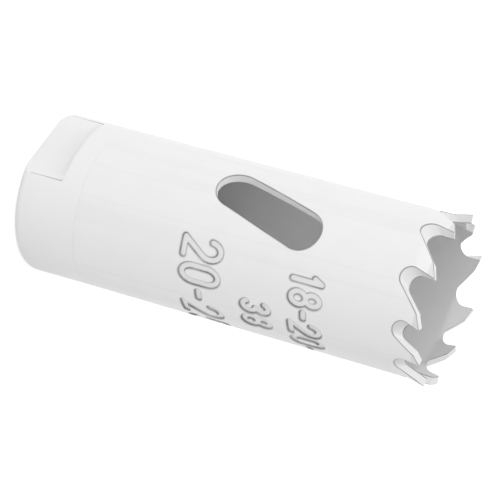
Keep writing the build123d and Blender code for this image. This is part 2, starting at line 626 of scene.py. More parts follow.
@dataclass
class Strip:
    """The two-metal strip: its tooth form, its slot and how it is rolled and set.

    Attributes:
        radius: Outside of the rolled tube.
        wall: Thickness of the strip.
        foot: Height of the strip's lower side, on the cap's flange.
        top: Height of the tips.
        weld: Height of the weld between the tough strip and the hard one.
        bend: Height from which the teeth are set.
        set_offset: How far a set tooth stands out or in at its tip.
        set_turn: Share of a gullet's radius, each way from its middle, over which the set changes.
        set_curve: Share of the set's height, each way from the bend, over which the bend is curved.
        bevel_forward: Share of its depth below the tips that a gullet's wall has moved ahead at the bore.
        bevel_up: Share of it that the wall has moved up there.
        rake: Angle by which the front of a tooth leans back under its tip.
        relief: Angle of the facet behind a tip.
        facet_share: Length of that facet, as a share of the pitch.
        gullet_radius: Largest radius of a gullet's bottom.
        gullet_share: Largest radius of it as a share of the pitch.
        slot_width: Width of the clearing slot.
        slot_length: Length of the slot, with its rounded ends.
        slot_tilt: Angle by which the slot leans from the axis.
        slot_height: Height of its middle.
        slot_angle: Angle of its middle round the saw.
        tooth_lip: Lip at the front and the top of a tooth.
        back_lip: Lip at the slope of its back.
        rim_line: Depth below the skin of the dark line near the bore on the teeth's walls.
        rim_thin: How many times thinner than usual that line is.
        slot_lip: Lip of the slot.
        foot_lip: Lip of the strip's lower side.
        weld_lip: Lip on both sides of the hard strip's weld.
        weld_clear: Least distance of an edge's own points from the weld, in lips of a tooth.
        tip_radius: Radius that rounds a tip.
        heel_radius: Radius that rounds a heel.
        inner_lip: Lips at the bore, as a share of those at the skin.
        seam_shares: Shares of the two ends of the last tooth's weld that place the seam of the drawing.
        teeth: The teeth in turn, counted about +Z.
        stamping: The numerals on the skin.
        turn: Arc of the whole way round.
        tips: Arc of each tip.
        sets: Set of each tooth, from -1 to 1.
        gullets: The gap in front of each tooth.
        seam: Arc at which the drawing is cut open.
    """

    radius: float = 9.5
    wall: float = 1.0
    foot: float = 8.0
    top: float = 51.0
    weld: float = 50.1
    bend: float = 48.5
    set_offset: float = 0.5
    set_turn: float = 0.4
    set_curve: float = 0.1
    bevel_forward: float = 0.26
    bevel_up: float = 0.33
    rake: float = math.radians(15.0)
    relief: float = math.radians(22.0)
    facet_share: float = 0.3
    gullet_radius: float = 1.25
    gullet_share: float = 0.26
    slot_width: float = 5.0
    slot_length: float = 14.3
    slot_tilt: float = math.radians(17.5)
    slot_height: float = 30.2
    slot_angle: float = math.radians(-77.6)
    tooth_lip: float = 0.075
    back_lip: float = 0.105
    rim_line: float = 0.93
    rim_thin: float = 2.0
    slot_lip: float = 0.1
    foot_lip: float = 0.03
    weld_lip: float = 0.003
    weld_clear: float = 1.5
    tip_radius: float = 0.09
    heel_radius: float = 0.15
    inner_lip: float = 0.6
    seam_shares: tuple[float, float] = (0.3, 0.7)
    teeth: tuple[Tooth, ...] = (
        Tooth(-99.5, ToothSet.STRAIGHT, 3.7),
        Tooth(-60.9, ToothSet.INWARD, 3.7),
        Tooth(-25.0, ToothSet.OUTWARD, 3.3),
        Tooth(6.0, ToothSet.STRAIGHT, 3.1),
        Tooth(33.2, ToothSet.OUTWARD, 3.1),
        Tooth(61.9, ToothSet.OUTWARD, 3.1),
        Tooth(95.5, ToothSet.INWARD, 3.1),
        Tooth(130.5, ToothSet.OUTWARD, 3.3),
        Tooth(170.6, ToothSet.STRAIGHT, 3.5),
        Tooth(214.5, ToothSet.INWARD, 1.5),
        Tooth(226.0, ToothSet.OUTWARD, 3.6),
    )
    stamping: Stamping = field(default_factory=Stamping)
    turn: float = field(init=False)
    tips: np.ndarray = field(init=False)
    sets: np.ndarray = field(init=False)
    gullets: list[Gullet] = field(init=False)
    seam: float = field(init=False)

    def __post_init__(self) -> None:
        """Works out the tips' arcs and the gullets. The seam is set for good by crown_edge."""
        self.turn = 2 * math.pi * self.radius
        self.tips = np.radians([tooth.angle for tooth in self.teeth]) * self.radius
        self.sets = np.array([tooth.bent for tooth in self.teeth], dtype=float)
        self.gullets = [self.gullet(row) for row in range(len(self.teeth))]
        self.seam = float(self.tips[0])

    def pitch(self, row: int) -> float:
        """Arc from one tip to the next."""
        following = self.tips[(row + 1) % len(self.tips)]
        return float((following - self.tips[row]) % self.turn)

    def gullet(self, row: int) -> Gullet:
        """Works out the gap in front of a tooth.

        The raked side leans back from the tip by tan(rake). The back of the next tooth leaves the end of
        its relief facet on the tangent of the gullet's arc, so that the arc is a rounded corner of those
        two sides.

        Args:
            row: Index of the tooth behind the gap.

        Returns:
            The gap.
        """
        pitch, depth = self.pitch(row), self.teeth[row].depth
        radius = min(self.gullet_radius, self.gullet_share * pitch)
        centre_z = radius - depth
        centre_s = (radius + centre_z * math.sin(self.rake)) / math.cos(self.rake)
        facet = self.facet_share * pitch
        heel = np.array([pitch - facet, -facet * math.tan(self.relief)])
        lead = heel - [centre_s, centre_z]
        slope = math.atan2(lead[1], lead[0]) + math.asin(radius / math.hypot(*lead))
        down = np.array([-math.sin(self.rake), -math.cos(self.rake)])
        back = np.array([math.cos(slope), math.sin(slope)])
        share = np.linalg.solve(np.stack([down, back], axis=1), heel)[0]
        tip = np.array([self.tips[row], self.top])
        return Gullet(tip, tip + down * share, radius, tip + heel, tip[0] + centre_s)

    def crown_ring(self, spacing: float) -> Edge:
        """Edge of all the teeth once round, towards smaller arcs, from where it first rises above the weld.

        Args:
            spacing: Longest step along the edge.

        Returns:
            The edge, without the points that are too near to the weld for both lips.
        """
        corners = []
        for gullet, behind in zip(reversed(self.gullets), [*reversed(self.gullets[:-1]), self.gullets[-1]]):
            back = 0.0 if behind is not self.gullets[-1] else self.turn
            corners += [
                [*gullet.corner, gullet.radius],
                [*gullet.tip, self.tip_radius],
                [behind.heel[0] - back, behind.heel[1], self.heel_radius],
            ]
        lips = np.tile([self.tooth_lip, self.tooth_lip, self.back_lip], len(self.gullets))
        ring = trace(np.array(corners), lips, spacing, -self.turn)
        ring = ring.take(np.abs(ring.points[:, 1] - self.weld) > self.weld_clear * self.tooth_lip)
        high = ring.points[:, 1] > self.weld
        first = int(np.flatnonzero(high & ~np.roll(high, 1))[0])
        return joined([ring.take(slice(first, None)), ring.take(slice(0, first)).moved(-self.turn)])

    def crown(self, spacing: float) -> list[Edge]:
        """Edge of all the teeth, cut where it crosses the weld of the hard strip.

        Each part gets both its crossings as ends, where its own lip meets the very small lip of the weld.

        Args:
            spacing: Longest step along the edge.

        Returns:
            The parts in turn, towards smaller arcs: the last tooth's tip above the weld, the gullet
            behind it, and so on, each from crossing to crossing. The last gullet is one turn back.
        """
        ring = self.crown_ring(spacing)
        high = (ring.points[:, 1] > self.weld).astype(int)
        lasts = np.concatenate([np.flatnonzero(np.diff(high)), [len(high) - 1]])
        firsts = np.concatenate([[0], lasts[:-1] + 1])
        before = ring.take(lasts)
        after = joined([ring, ring.take([0]).moved(-self.turn)]).take(lasts + 1)
        share = ((self.weld - before.points[:, 1]) / (after.points[:, 1] - before.points[:, 1]))[:, None]
        places = before.points + (after.points - before.points) * share
        outward = unit(before.outward + (after.outward - before.outward) * share)
        crossings = Edge(places, outward, outward, before.lip)
        parts = []
        for index, (first, last) in enumerate(zip(firsts, lasts)):
            entry, leave = crossings.take([index - 1]), crossings.take([index])
            if index == 0:
                entry = entry.moved(self.turn)
            to_weld = [0.0, -1.0 if high[first] else 1.0]
            for end in (entry, leave):
                both = np.array([end.outward[0], to_weld])
                end.inset = (np.linalg.pinv(both) @ np.array([end.lip[0], self.weld_lip]))[None]
            parts.append(joined([entry, ring.take(slice(first, last + 1)), leave]))
        return parts

    def crown_edge(self, spacing: float) -> Edge:
        """Edge of the body once round, from a point of the last tooth's weld: gullets and welds by turns.

        The seam of the drawing is set to one turn before that point.

        Args:
            spacing: Longest step along the edge.

        Returns:
            The edge, towards smaller arcs.
        """
        parts = self.crown(spacing)
        first, last = self.seam_shares
        start = first * parts[0].points[0] + last * parts[0].points[-1]
        self.seam = float(start[0]) - self.turn
        up = np.array([[0.0, 1.0]])
        chain, at = [Edge(start[None], up, up * self.weld_lip, np.array([self.weld_lip]))], start
        for part in parts[1::2]:
            chain += [straight(at, part.points[0], self.weld_lip, spacing), part]
            at = part.points[-1]
        edge = joined([*chain, straight(at, start - [self.turn, 0.0], self.weld_lip, spacing)])
        return replace(edge, bevelled=True, shear=self.rim_line, thin=self.rim_thin)

    def foot_edge(self, spacing: float) -> Edge:
        """Edge of the body where it stands on the cap."""
        return trace(np.array([[self.seam, self.foot, 0.0]]), np.array([self.foot_lip]), spacing, self.turn)

    def slot_edge(self, spacing: float) -> Edge:
        """Edge of the slot, a rectangle with ends that are rounded all the way.

        Args:
            spacing: Longest step along the edge.

        Returns:
            The edge, with a hair of straight side left at each end.
        """
        wide, long, hair = self.slot_width / 2, self.slot_length / 2, 1e-4
        across = np.array([wide, wide, -wide, -wide])
        along = np.array([long, -long, -long, long])
        arc = across * math.cos(self.slot_tilt) + along * math.sin(self.slot_tilt)
        rise = along * math.cos(self.slot_tilt) - across * math.sin(self.slot_tilt)
        middle = self.slot_angle * self.radius
        corners = np.stack([arc + middle, rise + self.slot_height, np.full(4, wide - hair)], axis=1)
        return trace(corners, np.full(4, self.slot_lip), spacing)

    def tip_edges(self, spacing: float) -> list[Edge]:
        """Edges of the hard tips.

        Args:
            spacing: Longest step along an edge.

        Returns:
            One edge for each tooth, closed by its weld.
        """
        edges = []
        for tip in self.crown(spacing)[0::2]:
            edge = joined([tip, straight(tip.points[-1], tip.points[0], self.weld_lip, spacing)])
            edges.append(replace(edge, bevelled=True, shear=self.rim_line, thin=self.rim_thin))
        return edges

    def slot_gap(self, points: np.ndarray) -> np.ndarray:
        """Distance from the slot's edge, below 0 inside it.

        The slot is a capsule, so this is the distance from its middle line less half its width.

        Args:
            points: Places (arc, height), shape (n, 2).

        Returns:
            The distances, shape (n,).
        """
        offset = points - [self.slot_angle * self.radius, self.slot_height]
        along = offset @ np.array([math.sin(self.slot_tilt), math.cos(self.slot_tilt)])
        across = offset @ np.array([math.cos(self.slot_tilt), -math.sin(self.slot_tilt)])
        half = (self.slot_length - self.slot_width) / 2
        return np.hypot(across, along - np.clip(along, -half, half)) - self.slot_width / 2

    def drift(self, points: np.ndarray) -> np.ndarray:
        """How far the tooth set moves a point outwards.

        With x the way from the bend, 0, to the tips, 1, a set tooth moves by x times the set's offset.
        Within c of the bend, where the curve is, (x + c)^2 / (4 * c) stands for x. Round the strip the set
        is constant over each tooth and changes over the bottom of each gullet.

        Args:
            points: Places (arc, height), shape (n, 2).

        Returns:
            The moves, shape (n,), below 0 for a tooth that is set inwards.
        """
        middles = np.array([gullet.middle for gullet in self.gullets])
        spread = np.array([self.set_turn * gullet.radius for gullet in self.gullets])
        steps = np.stack([middles - spread, middles + spread], axis=1).ravel()
        values = np.stack([self.sets, np.roll(self.sets, -1)], axis=1).ravel()
        sets = np.interp(points[:, 0], steps, values, period=self.turn)
        above, curve = (points[:, 1] - self.bend) / (self.top - self.bend), self.set_curve
        eased = np.where(above > curve, above, np.clip(above + curve, 0.0, None) ** 2 / (4 * curve))
        return self.set_offset * sets * np.where(above > -curve, eased, 0.0)

    def roll(self, flat: np.ndarray, rise: np.ndarray, slope: np.ndarray) -> tuple[np.ndarray, np.ndarray]:
        """Rolls points of the strip into the tube and sets the teeth.

        A point (arc s, height z) at a level h above the skin goes to the angle s / R, the height z and
        the radius R + h + drift(s, z). A direction (a, b, c) in the strip, across the surface, becomes
        a - c * d(drift)/ds round the saw, times R over the new radius, b - c * d(drift)/dz upwards, and c
        outwards.

        Args:
            flat: Places (arc, height), shape (n, 2).
            rise: Level above the skin, shape (n,).
            slope: Directions across the surface as (arc, height, outwards), shape (n, 3).

        Returns:
            Places in millimetres and unit normals, shape (n, 3) each.
        """
        tiny = 1e-3
        drift = self.drift(flat)
        by_arc = (self.drift(flat + [tiny, 0.0]) - drift) / tiny
        by_height = (self.drift(flat + [0.0, tiny]) - drift) / tiny
        radius = self.radius + rise + drift
        angle = flat[:, 0] / self.radius
        cos, sin = np.cos(angle), np.sin(angle)
        around = (slope[:, 0] - slope[:, 2] * by_arc) * self.radius / radius
        upward = slope[:, 1] - slope[:, 2] * by_height
        outward = slope[:, 2]
        points = np.stack([radius * cos, radius * sin, flat[:, 1]], axis=1)
        normals = np.stack([outward * cos - around * sin, outward * sin + around * cos, upward], axis=1)
        return points, unit(normals)

    def wall_place(
        self, edge: Edge, behind: float, inward: np.ndarray | float
    ) -> tuple[np.ndarray, np.ndarray]:
        """Where the wall at an edge is, part of the way from the skin to the bore.

        With d the depth below the tips and t the way inwards, a leaning wall stands at
        (arc + forward * d * t, height + up * d * t). A direction (a, b) across the edge becomes
        ((1 - up * t) * a, forward * t * a + b), and its outward part d * (forward * a + up * b) / wall.

        Args:
            edge: The traced edge.
            behind: How much of the lip's inset is taken off.
            inward: Way from the skin, 0, to the bore, 1.

        Returns:
            Places (arc, height) and unit directions (arc, height, outwards) across the wall.
        """
        flat = edge.points - edge.inset * behind
        if not edge.bevelled:
            return flat, np.column_stack([edge.outward, np.zeros(len(flat))])
        below = self.top - flat[:, 1]
        lean = np.stack([self.bevel_forward * below, self.bevel_up * below], axis=1)
        moved = flat + lean * np.reshape(inward, (-1, 1))
        across = (1.0 - self.bevel_up * inward) * edge.outward[:, 0]
        upward = self.bevel_forward * inward * edge.outward[:, 0] + edge.outward[:, 1]
        size = np.hypot(across, upward)
        across, upward = across / size, upward / size
        outward = below * (self.bevel_forward * across + self.bevel_up * upward) / self.wall
        return moved, unit(np.stack([across, upward, outward], axis=1))

    def wall_levels(self, shell: Shell, edge: Edge) -> tuple[np.ndarray, np.ndarray]:
        """Adds the cut wall at an edge, with a rounded lip at the skin and a smaller one at the bore.

        Over the outer lip an angle t goes from 0 to 90 degrees: the wall stands lip * (1 - sin t) behind
        the edge and lip * (1 - cos t) below the skin. The inner lip is the same from 90 to 0. A lip is
        darkened by sin 2t, so most in its middle, and the wall's dark line lies at a level of its own.

        Args:
            shell: The piece that the wall joins.
            edge: The traced edge.

        Returns:
            Vertex indices of the wall's first level, at the skin, and of its last, at the bore.
        """
        bends = np.radians([0.0, 30.0, 60.0, 90.0])
        run = edge.run()
        rows = []
        for side, size in ((1.0, 1.0), (-1.0, self.inner_lip)):
            for bend in bends if side > 0 else bends[::-1]:
                sunk = edge.lip * size * (1.0 - math.cos(bend))
                rise = -sunk if side > 0 else sunk - self.wall
                flat, away = self.wall_place(edge, size * (1.0 - math.sin(bend)), -rise / self.wall)
                slope = away * math.sin(bend) + [0.0, 0.0, side * math.cos(bend)]
                points, normals = self.roll(flat, rise, slope)
                marks = {
                    "edge": np.full(len(flat), edge.darkening * math.sin(2.0 * bend)),
                    "corner": edge.thin * (edge.shear + rise),
                    "stamp": np.full(len(flat), FAR),
                    "run": run,
                }
                first = shell.add_points(points, normals, **marks)
                rows.append(np.arange(first, first + len(flat)))
        shell.add_faces(ring_quads(np.stack(rows)), edge.face)
        return rows[0], rows[-1]


@dataclass
class RolledPiece:
    """A piece of the rolled strip: two faces and the walls at its edges.

    Attributes:
        strip: The strip that it is cut from.
        clear_rim: Least distance from the walls' rims to a point inside a face.
    """

    strip: Strip
    clear_rim: float = 0.16

    def build_from(self, name: str, edges: list[Edge]) -> bpy.types.Object:
        """Makes the piece: the walls at its edges, then its skin and its bore face.

        Args:
            name: Name of the object.
            edges: Its traced edges.

        Returns:
            The finished object.
        """
        shell = Shell()
        walls = [self.strip.wall_levels(shell, edge) for edge in edges]
        self.add_face(shell, edges, [wall[0] for wall in walls], inner=False)
        self.add_face(shell, edges, [wall[1] for wall in walls], inner=True)
        return shell.build(name)

    def face_points(self, rims: list[np.ndarray], inner: bool) -> np.ndarray:
        """Points inside the skin or the bore face, clear of its rims.

        Args:
            rims: Places (arc, height) of the face's rims.
            inner: Whether this is the bore face.

        Returns:
            Places (arc, height), shape (n, 2).
        """
        raise NotImplementedError

    def add_face(self, shell: Shell, edges: list[Edge], rims: list[np.ndarray], inner: bool) -> None:
        """Adds the skin or the bore face between the walls' rims.

        Args:
            shell: The piece.
            edges: Its traced edges.
            rims: Vertex indices of the wall level that this face meets, one array for each edge.
            inner: Whether this is the bore face.
        """
        strip = self.strip
        flats = [strip.wall_place(edge, strip.inner_lip if inner else 1.0, float(inner))[0] for edge in edges]
        owners = list(rims)
        sides, start = [], 0
        for flat in flats:
            index = np.arange(start, start + len(flat))
            sides.append(np.stack([index, np.roll(index, -1)], axis=1))
            start += len(flat)
        extra, extra_owner, extra_sides = self.seam_points(shell, flats, rims, inner)
        flats.append(extra)
        owners.append(extra_owner)
        sides = self.closed_sides(sides) + extra_sides
        inside = self.face_points(flats[: len(edges)], inner)
        flats.append(inside)
        owners.append(self.add_inside(shell, inside, inside[:, 0], inner))
        corners = triangles(np.concatenate(flats), np.concatenate(sides))
        corners = corners[self.is_metal(corners, [len(edge.points) for edge in edges])]
        corners = np.concatenate(owners)[corners]
        shell.add_faces(corners[:, ::-1] if inner else corners, Face.BORE if inner else Face.SKIN)

    def add_inside(self, shell: Shell, flat: np.ndarray, run: np.ndarray, inner: bool) -> np.ndarray:
        """Adds vertices on the skin or the bore face, away from its edges.

        The bore face is the skin moved in by the wall. The skin has the stamping pressed into it.

        Args:
            shell: The piece.
            flat: Places (arc, height), shape (n, 2).
            run: Distance across the tool marks, shape (n,).
            inner: Whether this is the bore face.

        Returns:
            Their indices.
        """
        if inner:
            rise, gap = np.full(len(flat), -self.strip.wall), np.full(len(flat), FAR)
            slope = np.tile([0.0, 0.0, -1.0], (len(flat), 1))
        else:
            rise, fall, gap = self.strip.stamping.press(flat)
            slope = np.column_stack([-fall, np.ones(len(flat))])
        points, normals = self.strip.roll(flat, rise, slope)
        zeros = np.zeros(len(flat))
        first = shell.add_points(points, normals, edge=zeros, corner=zeros + FAR, stamp=gap, run=run)
        return np.arange(first, first + len(flat))

    def seam_points(
        self, shell: Shell, flats: list[np.ndarray], rims: list[np.ndarray], inner: bool
    ) -> tuple[np.ndarray, np.ndarray, list[np.ndarray]]:
        """Extra points where a drawing of the whole turn is cut open; none on a small piece.

        Args:
            shell: The piece.
            flats: Places (arc, height) of the face's rims, one array for each edge.
            rims: Their vertex indices.
            inner: Whether this is the bore face.

        Returns:
            Places of the extra points, the vertex that each stands for, and the sides that they form, as
            pairs of indices into all the drawing's points.
        """
        return np.empty((0, 2)), np.empty(0, dtype=int), []

    def closed_sides(self, sides: list[np.ndarray]) -> list[np.ndarray]:
        """Sides of the flat drawing, for edges that close in it."""
        return sides

    def is_metal(self, corners: np.ndarray, sizes: list[int]) -> np.ndarray:
        """Which triangles are metal, from their corners and the number of points on each edge."""
        return np.ones(len(corners), dtype=bool)


@dataclass
class BodyTube(RolledPiece):
    """The tube of tough steel, stamped, slotted and toothed up to the weld of the hard strip.

    Attributes:
        clear_rim: Least distance from a rim at the teeth to a point inside a face.
        clear_below: How far below the bend that distance is kept.
        clear_slot: Least distance from the slot.
        clear_foot: Least distance from the foot.
        clear_seam: Least distance from the seam of the drawing.
        clear_channel: Least distance of the wider points from a stamped channel.
        edge_step: Longest step along the teeth and the slot.
        foot_step: Longest step along the foot.
        seam_step: Space between points down the seam.
        wide_step: Space between points on plain steel.
        close_step: Space between them near the teeth and the slot.
        close_below: How far below the bend they stand close.
        close_round: How far round the slot they stand close.
        change: Gap between the close points and the wide ones.
        foot_darkening: How dark the foot's lip is.
        slot_darkening: How dark the slot's lips are.
        slot_shear: Depth of the dark line on the slot's wall.
    """

    clear_rim: float = 0.2
    clear_below: float = 3.5
    clear_slot: float = 0.3
    clear_foot: float = 0.4
    clear_seam: float = 0.25
    clear_channel: float = 0.3
    edge_step: float = 0.16
    foot_step: float = 0.5
    seam_step: float = 0.6
    wide_step: float = 0.8
    close_step: float = 0.3
    close_below: float = 3.0
    close_round: float = 1.0
    change: float = 0.4
    foot_darkening: float = 0.12
    slot_darkening: float = 0.0
    slot_shear: float = 0.07

    def build(self) -> bpy.types.Object:
        """Makes the tube.

        Returns:
            The finished object.
        """
        crown = self.strip.crown_edge(self.edge_step)
        foot = replace(self.strip.foot_edge(self.foot_step), darkening=self.foot_darkening)
        slot = self.strip.slot_edge(self.edge_step)
        slot = replace(slot, darkening=self.slot_darkening, shear=self.slot_shear, face=Face.SKIN)
        return self.build_from("rolled_body", [crown, foot, slot])

    def dress(self, piece: bpy.types.Object, finishes: Finishes) -> None:
        """Paints the skin, with the slot's walls, and leaves the gullets milled and the bore dull."""
        finishes.put_on(piece, finishes.paint, finishes.cut, finishes.bore)

    def seam_points(
        self, shell: Shell, flats: list[np.ndarray], rims: list[np.ndarray], inner: bool
    ) -> tuple[np.ndarray, np.ndarray, list[np.ndarray]]:
        """Points down both sides of the line where the drawing is cut open.

        The crown's edge starts at the right-hand side and the foot's at the left. Each gets its first
        point once more at the other side, and both sides share one column of vertices between.

        Args:
            shell: The piece.
            flats: Places (arc, height) of the face's rims: crown, foot and slot.
            rims: Their vertex indices.
            inner: Whether this is the bore face.

        Returns:
            Places of the extra points, the vertex that each stands for, and the sides that they form, as
            pairs of indices into all the drawing's points.
        """
        strip = self.strip
        crown, foot = flats[0][0], flats[1][0]
        rows = np.linspace(foot[1], crown[1], int((crown[1] - foot[1]) / self.seam_step) + 1)[1:-1]
        left = np.column_stack([np.full(len(rows), strip.seam), rows])
        column = self.add_inside(shell, left, rows, inner)
        shift = [strip.turn, 0.0]
        extra = np.concatenate([[crown - shift], [foot + shift], left, left + shift])
        owner = np.concatenate([[rims[0][0]], [rims[1][0]], column, column])
        crown_right, foot_left = 0, len(flats[0])
        crown_left = sum(len(flat) for flat in flats)
        foot_right = crown_left + 1
        left_index = foot_right + 1 + np.arange(len(rows))
        right_index = left_index + len(rows)
        left_line = np.concatenate([[crown_left], left_index[::-1], [foot_left]])
        right_line = np.concatenate([[foot_right], right_index, [crown_right]])
        crown_close = np.array([[foot_left - 1, crown_left]])
        foot_close = np.array([[foot_left + len(flats[1]) - 1, foot_right]])
        lines = [np.stack([line[:-1], line[1:]], axis=1) for line in (left_line, right_line)]
        return extra, owner, [*lines, crown_close, foot_close]

    def closed_sides(self, sides: list[np.ndarray]) -> list[np.ndarray]:
        """Sides without the two that would run back across the whole drawing."""
        return [sides[0][:-1], sides[1][:-1], sides[2]]

    def face_points(self, rims: list[np.ndarray], inner: bool) -> np.ndarray:
        """Wide points over the tube, close ones at the teeth and the slot, fine ones at the stamping.

        Args:
            rims: Places (arc, height) of the face's rims: crown, foot and slot.
            inner: Whether this is the bore face, which has no stamping.

        Returns:
            Places (arc, height), shape (n, 2).
        """
        strip, stamping = self.strip, self.strip.stamping
        low, high = (strip.seam, strip.foot), (strip.seam + strip.turn, strip.weld)
        wide, close = lattice(low, high, self.wide_step), lattice(low, high, self.close_step)
        crown, change = strip.bend - self.close_below, self.change
        dense = (close[:, 1] > crown) | (strip.slot_gap(close) < self.close_round)
        sparse = (wide[:, 1] <= crown - change) & (strip.slot_gap(wide) >= self.close_round + change)
        points = np.concatenate([close[dense], wide[sparse]])
        if not inner:
            clear = stamping.gap(points)[0] > stamping.half_width + self.clear_channel
            points = np.concatenate([points[clear], stamping.lattice()])
        keep = (strip.slot_gap(points) > self.clear_slot) & (points[:, 1] > strip.foot + self.clear_foot)
        keep &= points[:, 0] > strip.seam + self.clear_seam
        keep &= points[:, 0] < strip.seam + strip.turn - self.clear_seam
        points = points[keep]
        high_up = points[:, 1] > strip.bend - self.clear_below
        clear = np.ones(len(points), dtype=bool)
        clear[high_up] = nearest(points[high_up], rims[0]) > self.clear_rim
        return points[clear]

    def is_metal(self, corners: np.ndarray, sizes: list[int]) -> np.ndarray:
        """Every triangle but those across the slot, which have all their corners on its edge."""
        start = sizes[0] + sizes[1]
        return ~np.all((corners >= start) & (corners < start + sizes[2]), axis=1)


@dataclass
class HardTips(RolledPiece):
    """The hard tips of the teeth, one small solid on each.

    Attributes:
        edge_step: Longest step along an edge.
        face_step: Space between points inside a face.
        reach: How far the points' box goes before the first tip and past the last.
    """

    edge_step: float = 0.12
    face_step: float = 0.2
    reach: tuple[float, float] = (3.0, 1.0)

    def build(self) -> bpy.types.Object:
        """Makes all the tips as one object of separate solids.

        Returns:
            The finished object.
        """
        return self.build_from("hard_tips", self.strip.tip_edges(self.edge_step))

    def dress(self, piece: bpy.types.Object, finishes: Finishes) -> None:
        """Grinds the outside of the tips, and leaves their walls milled and their bore side dull."""
        finishes.put_on(piece, finishes.tip, finishes.cut, finishes.bore)

    def face_points(self, rims: list[np.ndarray], inner: bool) -> np.ndarray:
        """Points inside the tips, clear of their edges.

        A point is inside a tip if a line straight up from it crosses the edges an odd number of times.

        Args:
            rims: Places (arc, height) of the face's rims.
            inner: Whether this is the bore face; not used.

        Returns:
            Places (arc, height), shape (n, 2).
        """
        strip = self.strip
        low = (strip.tips[0] - self.reach[0], strip.weld)
        high = (strip.tips[-1] + self.reach[1], strip.top)
        points = lattice(low, high, self.face_step)
        points = points[nearest(points, np.concatenate(rims)) > self.clear_rim]
        arc, height = points[:, None, 0], points[:, None, 1]
        crossings = np.zeros(len(points), dtype=int)
        for start in rims:
            end = np.roll(start, -1, axis=0)
            spans = (start[None, :, 0] > arc) != (end[None, :, 0] > arc)
            run = end[:, 0] - start[:, 0]
            run = np.where(np.abs(run) < TINY, TINY, run)
            level = start[:, 1] + (arc - start[:, 0]) * (end[:, 1] - start[:, 1]) / run
            crossings += np.sum(spans & (level > height), axis=1)
        return points[crossings % 2 == 1]


# The cap


@dataclass(frozen=True)
class Stretch:
    """A stretch of the cap's turned profile, with one number or one for each row.

    Attributes:
        radii: Radius of the rows.
        heights: Height of the rows.
        slot: Material slot.
        milled: Whether the flats cut into it.
    """

    radii: np.ndarray | float
    heights: np.ndarray | float
    slot: Face = Face.SKIN
    milled: bool = False


